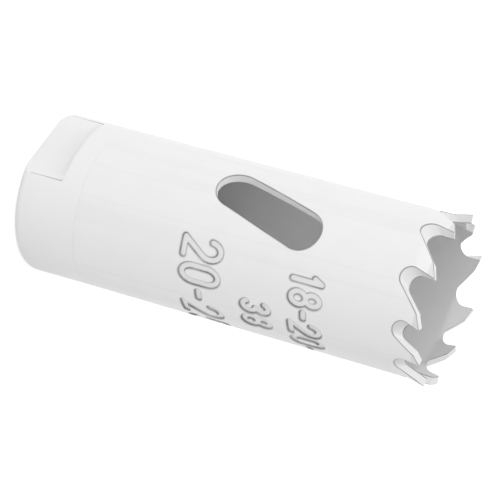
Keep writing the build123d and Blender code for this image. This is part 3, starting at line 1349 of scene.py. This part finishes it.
@dataclass
class TurnedCap:
    """The turned cap: back face, two spanner flats, flange, spigot and threaded bore.

    Attributes:
        radius: Outside of the cap.
        length: Height of the flange's upper face, which carries the tube.
        face_step: How far outside the spigot that face has a row of points.
        spigot_radius: Radius of the spigot inside the tube.
        spigot_top: Height of its end.
        spigot_chamfer: Chamfer at its end.
        spigot_face: Outermost row of points on its end.
        back_radius: Radius that rounds the back edge.
        flange_lip: Lip of the flange, at the foot of the tube.
        bore: Radius of the bore.
        bore_chamfer: Chamfer at both its ends.
        thread_depth: Depth of the thread.
        thread_pitch: Height of one turn of it.
        thread_step: Space between the rows of points in the bore.
        thread_flank: Height of the wave that is held between 0 and 1, so how much of a turn is flat.
        thread_crest: How much of that wave is below 0, at the crests.
        thread_fade: How far from the chamfers the thread reaches its depth.
        flat_distance: Distance of a flat from the axis.
        flat_length: Height of the ledge where the flats end.
        runout: Radius of the cutter's corner at the ledge.
        ledge_rise: How far above the ledge the round part has its first row of points.
        ledge_shade: How dark the painted shade at the ledge is, standing in for the shadow that the ledge
            casts on the flats.
        ledge_shade_span: Heights from the ledge at which that painted shade starts, gets full, starts to fade
            and ends.
        side_line: How much thinner the dark line along a flat's side gets towards the back face.
        side_line_least: Least strength of that line.
        back_rows: Rows of points over the back face.
        arc_rows: Rows over the back edge, and over the cutter's corner.
        flat_rows: Rows over the flats.
        upper_rows: Rows over the flange above the ledge.
        lip_rows: Rows over the flange's lip, and over a chamfer of the bore.
        end_rows: Rows over the spigot's end.
        flat_columns: Columns of points across a flat.
        round_columns: Columns of points round the cap between the flats.
        least_corner: Angles of a flat's side that are smaller than this one are taken to be no flat.
        sharp: Angle from which an edge is shaded sharp.
    """

    radius: float = 9.5
    length: float = 8.0
    face_step: float = 0.3
    spigot_radius: float = 8.45
    spigot_top: float = 10.0
    spigot_chamfer: float = 0.4
    spigot_face: float = 7.6
    back_radius: float = 1.0
    flange_lip: float = 0.03
    bore: float = 5.75
    bore_chamfer: float = 0.6
    thread_depth: float = 0.55
    thread_pitch: float = 1.27
    thread_step: float = 0.09
    thread_flank: float = 1.25
    thread_crest: float = 0.12
    thread_fade: float = 0.5
    flat_distance: float = 8.0
    flat_length: float = 5.4
    runout: float = 0.25
    ledge_rise: float = 0.03
    # Painted shade at the ledge, in place of the shadow that the ledge casts on the flats
    ledge_shade: float = 0.17
    ledge_shade_span: tuple[float, float, float, float] = (-1.125, -0.675, 0.0, 0.36)
    side_line: float = 0.06
    side_line_least: float = 0.2
    back_rows: int = 8
    arc_rows: int = 9
    flat_rows: int = 24
    upper_rows: int = 8
    lip_rows: int = 4
    end_rows: int = 5
    flat_columns: int = 28
    round_columns: int = 36
    least_corner: float = 0.05
    sharp: float = math.radians(24.0)

    def flat_wall(self, height: np.ndarray) -> np.ndarray:
        """Distance of the milled wall from the middle plane: the flat, then a quarter round to the ledge."""
        above = np.clip(height - (self.flat_length - self.runout), 0.0, self.runout)
        return self.flat_distance + self.runout - np.sqrt(np.maximum(self.runout**2 - above**2, 0.0))

    def profile(self) -> list[Stretch]:
        """The turned profile.

        Returns:
            Its stretches, from the bore's mouth at the back over the outside to the spigot and down the
            bore again.
        """
        quarter = np.radians(np.linspace(0.0, 90.0, self.arc_rows))
        lip = np.radians(np.linspace(0.0, 90.0, self.lip_rows))[1:]
        share = np.linspace(0.0, 1.0, self.lip_rows)[:-1]
        mouth = self.bore + self.bore_chamfer
        corner = self.radius - self.back_radius
        runout_z = self.flat_length - self.runout * np.cos(quarter[1:])
        flat_z = np.linspace(self.back_radius, self.flat_length - self.runout, self.flat_rows)[1:]
        upper = self.flat_length + self.ledge_rise, self.length - self.flange_lip
        thread_z = np.arange(self.spigot_top - self.bore_chamfer, self.bore_chamfer, -self.thread_step)
        lip_r = self.radius - self.flange_lip * (1 - np.cos(lip))
        lip_z = self.length - self.flange_lip * (1 - np.sin(lip))
        face_r = np.array([self.spigot_radius + self.face_step, self.spigot_radius])
        end_r = np.array([self.spigot_radius, self.spigot_radius - self.spigot_chamfer])
        end_z = np.array([self.spigot_top - self.spigot_chamfer, self.spigot_top])
        back_r = corner + self.back_radius * np.sin(quarter)
        back_z = self.back_radius * (1 - np.cos(quarter))
        return [
            Stretch(np.linspace(mouth, corner, self.back_rows)[:-1], 0.0, milled=True),
            Stretch(back_r, back_z, milled=True),
            Stretch(self.radius, np.concatenate([flat_z, runout_z]), milled=True),
            Stretch(self.radius, np.linspace(*upper, self.upper_rows)),
            Stretch(lip_r, lip_z),
            Stretch(face_r, self.length, Face.CUT),
            Stretch(end_r, end_z, Face.CUT),
            Stretch(np.linspace(self.spigot_face, mouth, self.end_rows), self.spigot_top, Face.CUT),
            Stretch(self.bore, thread_z, Face.BORE),
            Stretch(self.bore + self.bore_chamfer * share, self.bore_chamfer * (1 - share), Face.BORE),
        ]

    def thread(self, height: np.ndarray, angle: np.ndarray) -> np.ndarray:
        """How far the thread is cut into the bore.

        With p = z / pitch - angle / turn, the wave is flank * |2 * frac(p) - 1| - crest, held between 0
        and 1, times the depth. It fades in from each chamfer.

        Args:
            height: Height of each row.
            angle: Angle of each point, shape (rows, columns).

        Returns:
            The depths, shape (rows, columns).
        """
        phase = height[:, None] / self.thread_pitch - angle / (2 * math.pi)
        wave = np.clip(self.thread_flank * np.abs(2 * (phase % 1.0) - 1.0) - self.thread_crest, 0.0, 1.0)
        inside = np.minimum(height - self.bore_chamfer, self.spigot_top - self.bore_chamfer - height)
        return np.clip(inside / self.thread_fade, 0, 1)[:, None] * self.thread_depth * wave

    def flat_shade_and_lines(
        self, height: np.ndarray, tilt: np.ndarray, corner: np.ndarray, cut: np.ndarray
    ) -> tuple[np.ndarray, np.ndarray]:
        """Where painted shade and dark side lines darken the two milled flats.

        The painted shade stands in for the ledge's shadow: it lies at the ledge and just below it, fades out
        both ways over its span, and fades across the flat with 1 - (tilt / corner)^2. The dark side lines run
        along both sides of a flat, at a distance of radius * |tilt - corner|. They get thinner towards the
        back face, which adds to the distance.

        Args:
            height: Height of each row.
            tilt: Angle of each point from the middle of its flat, shape (rows, columns).
            corner: Angle of the flat's side in each row.
            cut: Whether the row has flats.

        Returns:
            The painted shade, from 0 to 1, and the distance from a side line's middle, shape (rows, columns)
            each.
        """
        across = np.abs(tilt) / corner[:, None]
        ledge_shade = np.interp(height - self.flat_length, self.ledge_shade_span, [0.0, self.ledge_shade, self.ledge_shade, 0.0])
        shade = np.where(across < 1.0, ledge_shade[:, None] * (1.0 - across**2), 0.0)
        above_back = height - self.back_radius
        strength = np.clip(above_back / (self.flat_length - self.back_radius), self.side_line_least, 1.0)
        line = self.radius * np.abs(np.abs(tilt) - corner[:, None]) + self.side_line * (1.0 - strength[:, None])
        return shade, np.where((cut & (above_back > 0.0))[:, None], line, FAR)

    def tilts(self, corner: np.ndarray) -> np.ndarray:
        """Angles of one half of the columns, from the middle of their flat.

        Args:
            corner: Angle of the flat's side in each row, where a column runs.

        Returns:
            The angles, from -90 to 90 degrees, shape (rows, columns).
        """
        inside = np.linspace(0.0, 1.0, self.flat_columns // 2 + 1)
        outside = np.linspace(0.0, 1.0, self.round_columns // 2 + 1)[1:]
        side = corner[:, None]
        half = np.concatenate([side * inside, side + (math.pi / 2 - side) * outside], axis=1)
        return np.concatenate([-half[:, :0:-1], half[:, :-1]], axis=1)

    def build(self) -> bpy.types.Object:
        """Makes the cap as one closed grid: profile rows by columns round the axis.

        Each row is turned about the axis. A milled row is cut back to flat_wall / cos(angle from the flat's
        middle) where that is less than its radius, and its columns are spread so that one of them runs
        exactly along the corner between the flat and the round. The thread adds its depth to the bore.

        Returns:
            The finished object.
        """
        profile = self.profile()
        rows = [np.broadcast_arrays(part.radii, part.heights) for part in profile]
        radius = np.concatenate([radii for radii, _ in rows])
        height = np.concatenate([heights for _, heights in rows])
        lengths = [len(radii) for radii, _ in rows]
        milled = np.repeat([part.milled for part in profile], lengths)
        slots = np.repeat([part.slot for part in profile], lengths)
        ledge = self.flat_distance + self.runout
        wall = np.where(milled, self.flat_wall(height), ledge)
        corner = np.arccos(np.clip(wall / np.maximum(radius, wall), -1.0, 1.0))
        corner = np.where(corner < self.least_corner, np.arccos(ledge / self.radius), corner)
        near = self.tilts(corner)
        tilt = np.concatenate([near, near], axis=1)
        angle = np.concatenate([near - math.pi / 2, near + math.pi / 2], axis=1)
        level = np.broadcast_to(height[:, None], angle.shape)
        flats = np.where(milled[:, None], wall[:, None] / np.maximum(np.cos(tilt), TINY), np.inf)
        reach = np.minimum(radius[:, None], flats)
        reach = reach + np.where((slots == Face.BORE)[:, None], self.thread(height, angle), 0.0)
        points = np.stack([reach * np.cos(angle), reach * np.sin(angle), level], axis=2).reshape(-1, 3)
        # The first value goes into the edge mark: painted shade on the flats next to the ledge
        ledge_shade, side_line = self.flat_shade_and_lines(height, tilt, corner, milled & (radius > wall))
        far = np.full(len(points), FAR)
        marks = {"edge": ledge_shade.ravel(), "corner": side_line.ravel(), "stamp": far, "run": points[:, 2]}
        shell = Shell()
        shell.add_points(points, unit(points), **marks)
        grid = np.arange(len(points)).reshape(angle.shape)
        quads = ring_quads(np.concatenate([grid, grid[:1]]))[:, ::-1]
        shell.add_faces(quads, np.repeat(slots, angle.shape[1]))
        piece = shell.build("turned_cap", own_normals=False)
        piece.data.set_sharp_from_angle(angle=self.sharp)
        return piece

    def dress(self, piece: bpy.types.Object, finishes: Finishes) -> None:
        """Paints the outside, without streaks, and leaves the spigot plain and the bore dull."""
        finishes.put_on(piece, finishes.turned, finishes.cut, finishes.bore)


# Finishes


# Grit is this many times finer than the cloud
GRIT_FINER = 14.0
# Share of its way along the axis that a streak's noise follows
STREAK_ALONG = 0.02
# How far the noise may be from its middle in a streak
STREAK_BAND = 0.035
# Cloud at which the dark lines and the painted shade are broken, cloud from which they are whole, and their
# least strength
BROKEN_FROM, BROKEN_TO, BROKEN_LEAST = 0.3, 0.6, 0.55
# How strongly the grit and the tool marks bend the light
BUMP_STRENGTH = 0.6
# Heights in metres between which the painted shade in the bore grows towards the teeth
MOUTH_SHADE_FROM, MOUTH_SHADE_TO = 0.034, 0.046
STREAK_GREY = (0.4, 0.4, 0.41, 1.0)
# Colour of the painted shade in the bore near the mouth
MOUTH_SHADE_GREY = (0.4, 0.4, 0.4, 1.0)
# Colour of the dark lines, and of the painted shade in the stamped channels and at the cap's ledge
MARK_AND_SHADE_GREY = (0.05, 0.05, 0.052)


@dataclass
class Nodes:
    """A material's or group's node tree with short ways to add to it.

    Attributes:
        tree: The node tree.
    """

    tree: bpy.types.NodeTree

    def add(
        self, kind: str, values: dict[str | int, object] | None = None, **settings: object
    ) -> bpy.types.Node:
        """Adds a node.

        Args:
            kind: Node type.
            values: Input sockets and their values; a socket as a value makes a link.
            **settings: Properties of the node.

        Returns:
            The new node.
        """
        node = self.tree.nodes.new(kind)
        for name, value in settings.items():
            setattr(node, name, value)
        for key, value in (values or {}).items():
            if isinstance(value, bpy.types.NodeSocket):
                self.tree.links.new(value, node.inputs[key])
            else:
                node.inputs[key].default_value = value
        return node

    def math(self, operation: str, a: object, b: object = 0.0, clamp: bool = False) -> bpy.types.NodeSocket:
        """Adds a sum, product or other operation of two values."""
        return self.add("ShaderNodeMath", {0: a, 1: b}, operation=operation, use_clamp=clamp).outputs[0]

    def blend(self, share: object, a: object, b: object) -> bpy.types.NodeSocket:
        """Adds a mix of two colours, whose factor, A and B are the sockets 0, 6 and 7."""
        return self.add("ShaderNodeMix", {0: share, 6: a, 7: b}, data_type="RGBA").outputs[2]

    def spread(self, value: object, low: float, high: float) -> bpy.types.NodeSocket:
        """Adds a range that takes 0 to 1 onto low to high."""
        node = self.add("ShaderNodeMapRange", {"Value": value, "To Min": low, "To Max": high})
        return node.outputs["Result"]

    def span(self, value: object, start: float, end: float, least: float = 0.0) -> bpy.types.NodeSocket:
        """Adds a range that takes start to end onto least to 1."""
        values = {"Value": value, "From Min": start, "From Max": end, "To Min": least}
        return self.add("ShaderNodeMapRange", values).outputs["Result"]


def new_group(name: str, inputs: dict[str, float], outputs: tuple[str, ...]) -> tuple[Nodes, dict, dict]:
    """Starts a shader node group of plain values.

    Args:
        name: Name of the group.
        inputs: Names and defaults of its inputs.
        outputs: Names of its outputs.

    Returns:
        Its nodes, its inner input sockets and its inner output sockets, by name.
    """
    tree = bpy.data.node_groups.new(name, "ShaderNodeTree")
    for label, value in inputs.items():
        tree.interface.new_socket(label, in_out="INPUT", socket_type="NodeSocketFloat").default_value = value
    for label in outputs:
        tree.interface.new_socket(label, in_out="OUTPUT", socket_type="NodeSocketFloat")
    nodes = Nodes(tree)
    enter, leave = nodes.add("NodeGroupInput"), nodes.add("NodeGroupOutput")
    return nodes, {s.name: s for s in enter.outputs if s.name}, {s.name: s for s in leave.inputs if s.name}


def mottle_group() -> bpy.types.NodeTree:
    """Cloudy variation, fine grit, and streaks that run along the saw.

    The streaks lie where a noise passes its middle. The noise changes with x and y, and hardly with z, so
    they are thin and run along the axis.

    Returns:
        A group with Scale, giving Cloud, Grit and Streak from 0 to 1.
    """
    nodes, enter, leave = new_group("mottle", {"Scale": 300.0}, ("Cloud", "Grit", "Streak"))
    place, scale = nodes.add("ShaderNodeTexCoord").outputs["Object"], enter["Scale"]
    cloud = nodes.add("ShaderNodeTexNoise", {"Vector": place, "Scale": scale, "Detail": 3.0})
    fine = nodes.math("MULTIPLY", scale, GRIT_FINER)
    grit = nodes.add("ShaderNodeTexNoise", {"Vector": place, "Scale": fine, "Detail": 2.0})
    along = nodes.add("ShaderNodeVectorMath", {0: place, 1: (1.0, 1.0, STREAK_ALONG)}, operation="MULTIPLY")
    streak = nodes.add("ShaderNodeTexNoise", {"Vector": along.outputs[0], "Scale": scale, "Detail": 1.0})
    level = nodes.math("ABSOLUTE", nodes.math("SUBTRACT", streak.outputs["Fac"], 0.5))
    nodes.tree.links.new(cloud.outputs["Fac"], leave["Cloud"])
    nodes.tree.links.new(grit.outputs["Fac"], leave["Grit"])
    nodes.tree.links.new(nodes.span(level, STREAK_BAND, 0.0), leave["Streak"])
    return nodes.tree


def tool_mark_group() -> bpy.types.NodeTree:
    """Fine parallel marks that a cutter leaves, from a distance across them.

    Returns:
        A group with Across and Scale, giving Lines from 0 to 1.
    """
    nodes, enter, leave = new_group("tool_marks", {"Across": 0.0, "Scale": 6.0}, ("Lines",))
    across = nodes.math("MULTIPLY", enter["Across"], enter["Scale"])
    place = nodes.add("ShaderNodeCombineXYZ", {"X": across})
    lines = nodes.add("ShaderNodeTexNoise", {"Vector": place.outputs[0], "Scale": 1.0, "Detail": 4.0})
    nodes.tree.links.new(lines.outputs["Fac"], leave["Lines"])
    return nodes.tree


@dataclass(frozen=True)
class MarkAndShadeLine:
    """A dark line, or a band of painted shade, that lies at one distance on the meshes.

    Attributes:
        distance: Name of the attribute that holds the distance.
        middle: Distance at which the line is darkest, in millimetres.
        width: How far it reaches from there, each way.
        strength: How dark it is, from 0 to 1.
    """

    distance: str
    middle: float
    width: float
    strength: float


# The corner line is the dark line on cut walls and along the cap's flats; the stamp lines are painted shade
# in the channels' sloping sides and at their rims
MARK_AND_SHADE_LINES = (
    MarkAndShadeLine("corner", 0.0, 0.12, 1.0),
    MarkAndShadeLine("stamp", 0.37, 0.14, 1.0),
    MarkAndShadeLine("stamp", 0.52, 0.06, 0.3),
)


def mark_and_shade_group() -> bpy.types.NodeTree:
    """Thin dark lines along corners and lips, and painted shade round the strokes of the stamped numerals and
    at the cap's ledge.

    A line is strength * (1 - |distance - middle| / width), and the dark lips and the ledge's painted shade
    come as they are from the attribute edge. The strongest of them counts. Cloudy gaps break it up along its
    way.

    Returns:
        A group with Cloud, giving MarkAndShade from 0 to 1.
    """
    nodes, enter, leave = new_group("mark_and_shade_lines", {"Cloud": 0.5}, ("MarkAndShade",))
    found = nodes.add("ShaderNodeAttribute", attribute_name="edge").outputs["Fac"]
    for row in MARK_AND_SHADE_LINES:
        place = nodes.add("ShaderNodeAttribute", attribute_name=row.distance).outputs["Fac"]
        away = nodes.math("ABSOLUTE", nodes.math("SUBTRACT", place, row.middle))
        fall = nodes.math("MULTIPLY", away, row.strength / row.width)
        found = nodes.math("MAXIMUM", found, nodes.math("SUBTRACT", row.strength, fall, clamp=True))
    whole = nodes.span(enter["Cloud"], BROKEN_FROM, BROKEN_TO, BROKEN_LEAST)
    nodes.tree.links.new(nodes.math("MULTIPLY", found, whole, clamp=True), leave["MarkAndShade"])
    return nodes.tree


@dataclass(frozen=True)
class Finish:
    """One surface finish, as a Principled material with cloud, grit, streaks and tool marks.

    Attributes:
        name: Name of the material.
        light: Colour where the cloud is strong.
        dark: Colour where it is weak.
        line: Colour of dark edges and lips, and of the painted shade in stamped channels and at the cap's
            ledge.
        rough: Lowest and highest roughness.
        line_share: How much of the line's colour shows.
        grit: Height of the grit.
        marks: Height of the tool marks.
        mark_scale: Tool marks for each millimetre.
        streak: How much the streaks along the saw darken the colour.
        mouth_shade: How much darker the last millimetres before the teeth are: painted shade inside the bore
            near its mouth.
    """

    name: str
    light: tuple[float, float, float]
    dark: tuple[float, float, float]
    line: tuple[float, float, float]
    rough: tuple[float, float]
    line_share: float = 0.9
    grit: float = 0.004
    marks: float = 0.0
    mark_scale: float = 9.0
    streak: float = 0.0
    mouth_shade: float = 0.0

    def build(self, groups: dict[str, bpy.types.NodeTree]) -> bpy.types.Material:
        """Makes the material.

        Args:
            groups: The shared effects by name: mottle, tool_marks and mark_and_shade_lines.

        Returns:
            The material.
        """
        material = bpy.data.materials.new(self.name)
        material.use_nodes = True
        nodes = Nodes(material.node_tree)
        shader = material.node_tree.nodes["Principled BSDF"]
        link = material.node_tree.links.new
        cloud = nodes.add("ShaderNodeGroup", node_tree=groups["mottle"])
        colour = nodes.blend(cloud.outputs["Cloud"], (*self.dark, 1.0), (*self.light, 1.0))
        if self.streak:
            streak = nodes.math("MULTIPLY", cloud.outputs["Streak"], self.streak)
            colour = nodes.blend(streak, colour, STREAK_GREY)
        # Painted shade: the bore's colour darkens towards the teeth, in place of the shade inside the mouth
        if self.mouth_shade:
            place = nodes.add("ShaderNodeTexCoord").outputs["Object"]
            height = nodes.add("ShaderNodeSeparateXYZ", {0: place}).outputs["Z"]
            near = nodes.math("MULTIPLY", nodes.span(height, MOUTH_SHADE_FROM, MOUTH_SHADE_TO), self.mouth_shade)
            colour = nodes.blend(near, colour, MOUTH_SHADE_GREY)
        # Dark lines, with the painted shade in the stamped channels and at the cap's ledge
        darkening = nodes.add("ShaderNodeGroup", node_tree=groups["mark_and_shade_lines"])
        link(cloud.outputs["Cloud"], darkening.inputs["Cloud"])
        share = nodes.math("MULTIPLY", darkening.outputs["MarkAndShade"], self.line_share)
        link(nodes.blend(share, colour, (*self.line, 1.0)), shader.inputs["Base Color"])
        link(nodes.spread(cloud.outputs["Grit"], *self.rough), shader.inputs["Roughness"])
        height = nodes.math("MULTIPLY", cloud.outputs["Grit"], self.grit)
        if self.marks:
            run = nodes.add("ShaderNodeAttribute", attribute_name="run").outputs["Fac"]
            lines = nodes.add("ShaderNodeGroup", node_tree=groups["tool_marks"])
            link(run, lines.inputs["Across"])
            lines.inputs["Scale"].default_value = self.mark_scale
            height = nodes.math("ADD", height, nodes.math("MULTIPLY", lines.outputs["Lines"], self.marks))
        bump = nodes.add("ShaderNodeBump", {"Height": height, "Distance": MM, "Strength": BUMP_STRENGTH})
        link(bump.outputs["Normal"], shader.inputs["Normal"])
        return material


class Finishes:
    """The saw's finishes, built once and shared by its pieces."""

    paint = Finish(
        "satin_silver_paint",
        light=(0.905, 0.905, 0.91),
        dark=(0.87, 0.87, 0.875),
        line=MARK_AND_SHADE_GREY,
        rough=(0.36, 0.46),
        streak=0.045,
    )
    turned = replace(paint, name="satin_silver_turned", streak=0.0)
    cut = Finish(
        "milled_steel",
        light=(0.82, 0.82, 0.82),
        dark=(0.74, 0.74, 0.745),
        line=MARK_AND_SHADE_GREY,
        rough=(0.28, 0.4),
        marks=0.01,
    )
    tip = Finish(
        "ground_hard_steel",
        light=(0.79, 0.79, 0.795),
        dark=(0.74, 0.74, 0.75),
        line=MARK_AND_SHADE_GREY,
        rough=(0.32, 0.42),
        marks=0.003,
    )
    bore = Finish(
        "dull_bore_steel",
        light=(0.895, 0.895, 0.9),
        dark=(0.855, 0.855, 0.86),
        line=(0.15, 0.15, 0.15),
        rough=(0.42, 0.55),
        line_share=0.7,
        grit=0.006,
        # Painted shade in the bore near the mouth
        mouth_shade=0.32,
    )

    def __init__(self) -> None:
        """Builds the shared groups and every material."""
        groups = {"mottle": mottle_group(), "tool_marks": tool_mark_group(), "mark_and_shade_lines": mark_and_shade_group()}
        finishes = (self.paint, self.turned, self.cut, self.tip, self.bore)
        self.materials = {finish: finish.build(groups) for finish in finishes}

    def put_on(self, piece: bpy.types.Object, skin: Finish, cut: Finish, bore: Finish) -> None:
        """Gives a piece its three materials, in the order of Face."""
        for finish in (skin, cut, bore):
            piece.data.materials.append(self.materials[finish])


# Studio


@dataclass(frozen=True)
class Lamp:
    """A square soft lamp.

    Attributes:
        name: Name of the lamp.
        seen: Its place as right, down and forward of the lens, in millimetres.
        size: Side of the square, in metres.
        power: Power in watts.
    """

    name: str
    seen: tuple[float, float, float]
    size: float
    power: float


@dataclass
class Studio:
    """Floor, lamps, sky and camera.

    The camera is described as a photographer sees it: how far the saw's axis swings down across the
    picture, how much its teeth lean to the lens, how the saw is turned on its own axis, and where the
    middle of its back face stands in front of the lens.

    Attributes:
        swing: Angle of the saw's axis in the picture, down from level.
        lean: Angle by which the teeth lean to the lens.
        turn: Angle by which the saw is turned on its axis.
        stand: The middle of its back face as right, down and forward of the lens, in millimetres.
        lens: Focal length in millimetres.
        sensor: Width of the sensor in millimetres.
        clip: Nearest and farthest that the camera sees, in metres.
        lamps: The lamps, which all face the middle of the saw.
        aim: Height of that middle, in metres.
        sky_light: Strength of the sky as a light.
        floor_grey: Colour of the floor.
        floor_glow: How much brighter the floor is to the camera and in reflections.
        floor_reach: Half the side of the floor, in metres.
    """

    swing: float = 0.2721
    lean: float = 0.3685
    turn: float = math.radians(49.0)
    stand: tuple[float, float, float] = (-23.373, -7.0148, 283.1404)
    lens: float = 171.44
    sensor: float = 36.0
    clip: tuple[float, float] = (0.01, 20.0)
    lamps: tuple[Lamp, ...] = (
        Lamp("lamp_above", (110.0, -420.0, 100.0), 0.35, 0.14),
        Lamp("lamp_front", (10.0, -60.0, -260.0), 0.4, 0.575),
        Lamp("lamp_mouth", (384.0, -60.0, 126.0), 0.3, 0.6),
    )
    aim: float = 0.025
    sky_light: float = 0.615
    floor_grey: float = 0.85
    floor_glow: float = 0.5
    floor_reach: float = 4.0

    def view(self) -> np.ndarray:
        """Rotation from the saw's frame to the lens's.

        Returns:
            The matrix whose rows are right, down and forward of the lens.
        """
        flat = math.cos(self.lean)
        axis = np.array([math.cos(self.swing) * flat, math.sin(self.swing) * flat, -math.sin(self.lean)])
        sight = np.array([0.0, 0.0, -1.0])
        facing = unit(sight - np.dot(sight, axis) * axis)
        side = np.cross(axis, facing)
        upright = np.stack([facing, side, axis], axis=1)
        cos, sin = math.cos(self.turn), math.sin(self.turn)
        return upright @ np.array([[cos, -sin, 0.0], [sin, cos, 0.0], [0.0, 0.0, 1.0]])

    def place(self, seen: tuple[float, float, float]) -> np.ndarray:
        """Place in the saw's frame of a point right, down and forward of the lens, both in millimetres."""
        return self.view().T @ (np.array(seen) - np.array(self.stand))

    def put(self, name: str, data: bpy.types.ID, turned: np.ndarray, place: np.ndarray) -> bpy.types.Object:
        """Adds a camera or a lamp to the scene.

        Args:
            name: Name of the object.
            data: The camera or the lamp.
            turned: Its rotation.
            place: Its place, in metres.

        Returns:
            The new object.
        """
        holder = bpy.data.objects.new(name, data)
        matrix = np.eye(4)
        matrix[:3, :3], matrix[:3, 3] = turned, place
        holder.matrix_world = Matrix(matrix.tolist())
        bpy.context.scene.collection.objects.link(holder)
        return holder

    def add_camera(self) -> None:
        """Adds the camera and makes it the scene's."""
        camera = bpy.data.cameras.new("camera")
        camera.lens, camera.sensor_width = self.lens, self.sensor
        camera.clip_start, camera.clip_end = self.clip
        turned = self.view().T @ np.diag([1.0, -1.0, -1.0])
        bpy.context.scene.camera = self.put("camera", camera, turned, self.place((0.0, 0.0, 0.0)) * MM)

    def add_lamp(self, lamp: Lamp) -> None:
        """Adds a lamp that faces the saw.

        Args:
            lamp: The lamp.
        """
        light = bpy.data.lights.new(lamp.name, "AREA")
        light.shape, light.size, light.energy = "SQUARE", lamp.size, lamp.power
        place = self.place(lamp.seen) * MM
        back = unit(place - np.array([0.0, 0.0, self.aim]))
        side = unit(np.cross([0.0, 0.0, 1.0], back))
        self.put(lamp.name, light, np.stack([side, np.cross(back, side), back], axis=1), place)

    def seen(self, nodes: Nodes) -> bpy.types.NodeSocket:
        """Adds a value for rays that see the background rather than light the saw.

        Args:
            nodes: The floor's or the sky's nodes.

        Returns:
            1 for rays from the camera, from a reflection or through glass, and else 0.
        """
        path = nodes.add("ShaderNodeLightPath")
        seen = nodes.math("MAXIMUM", path.outputs["Is Camera Ray"], path.outputs["Is Glossy Ray"])
        return nodes.math("MAXIMUM", seen, path.outputs["Is Transmission Ray"])

    def add_floor(self) -> None:
        """Adds the pale floor, with a glow for the rays that see it, so that it reads as white."""
        mesh = bpy.data.meshes.new("floor")
        corners = np.array([[-1, -1, 0], [1, -1, 0], [1, 1, 0], [-1, 1, 0]]) * self.floor_reach
        mesh.from_pydata(corners.tolist(), [], [(0, 1, 2, 3)])
        floor = bpy.data.objects.new("floor", mesh)
        bpy.context.scene.collection.objects.link(floor)
        material = bpy.data.materials.new("pale_floor")
        material.use_nodes = True
        nodes = Nodes(material.node_tree)
        material.node_tree.nodes.clear()
        grey = (self.floor_grey, self.floor_grey, self.floor_grey, 1.0)
        matt = nodes.add("ShaderNodeBsdfDiffuse", {"Color": grey})
        glow = nodes.math("MULTIPLY", self.seen(nodes), self.floor_glow)
        glow = nodes.add("ShaderNodeEmission", {"Color": (1.0, 1.0, 1.0, 1.0), "Strength": glow})
        both = nodes.add("ShaderNodeAddShader", {0: matt.outputs[0], 1: glow.outputs[0]})
        nodes.add("ShaderNodeOutputMaterial", {"Surface": both.outputs[0]})
        mesh.materials.append(material)

    def add_sky(self) -> None:
        """Lights the saw from all round, and shows white to the camera and in reflections."""
        world = bpy.data.worlds.new("sky")
        bpy.context.scene.world = world
        world.use_nodes = True
        nodes = Nodes(world.node_tree)
        world.node_tree.nodes.clear()
        strength = nodes.spread(self.seen(nodes), self.sky_light, 1.0)
        back = nodes.add("ShaderNodeBackground", {"Color": (1.0, 1.0, 1.0, 1.0), "Strength": strength})
        nodes.add("ShaderNodeOutputWorld", {"Surface": back.outputs[0]})

    def build(self) -> None:
        """Sets the whole studio up."""
        bpy.context.scene.view_settings.view_transform = "Standard"
        self.add_camera()
        self.add_floor()
        self.add_sky()
        for lamp in self.lamps:
            self.add_lamp(lamp)


# Assembly


def place_piece(piece: bpy.types.Object, node: str, slot: str) -> None:
    """Ties a piece to the saw's body and lets it stand for its node.

    Args:
        piece: The finished object.
        node: The CAD node that it replaces.
        slot: Name of its slot; not used.
    """
    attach(piece, "root")
    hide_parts(node)
    log.info("%s: %d vertices, %d faces", piece.name, len(piece.data.vertices), len(piece.data.polygons))


def main() -> None:
    """Builds the saw and its studio."""
    logging.basicConfig(level=logging.INFO, format="%(name)s %(message)s")
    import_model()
    finishes = Finishes()
    strip = Strip()
    for part, node, slot in (
        (BodyTube(strip), "saw_body", "painted_body"),
        (HardTips(strip), "tooth_tips", "hard_steel"),
        (TurnedCap(), "end_cap", "painted_cap"),
    ):
        piece = part.build()
        part.dress(piece, finishes)
        place_piece(piece, node, slot)
    Studio().build()


if __name__ == "__main__":
    main()
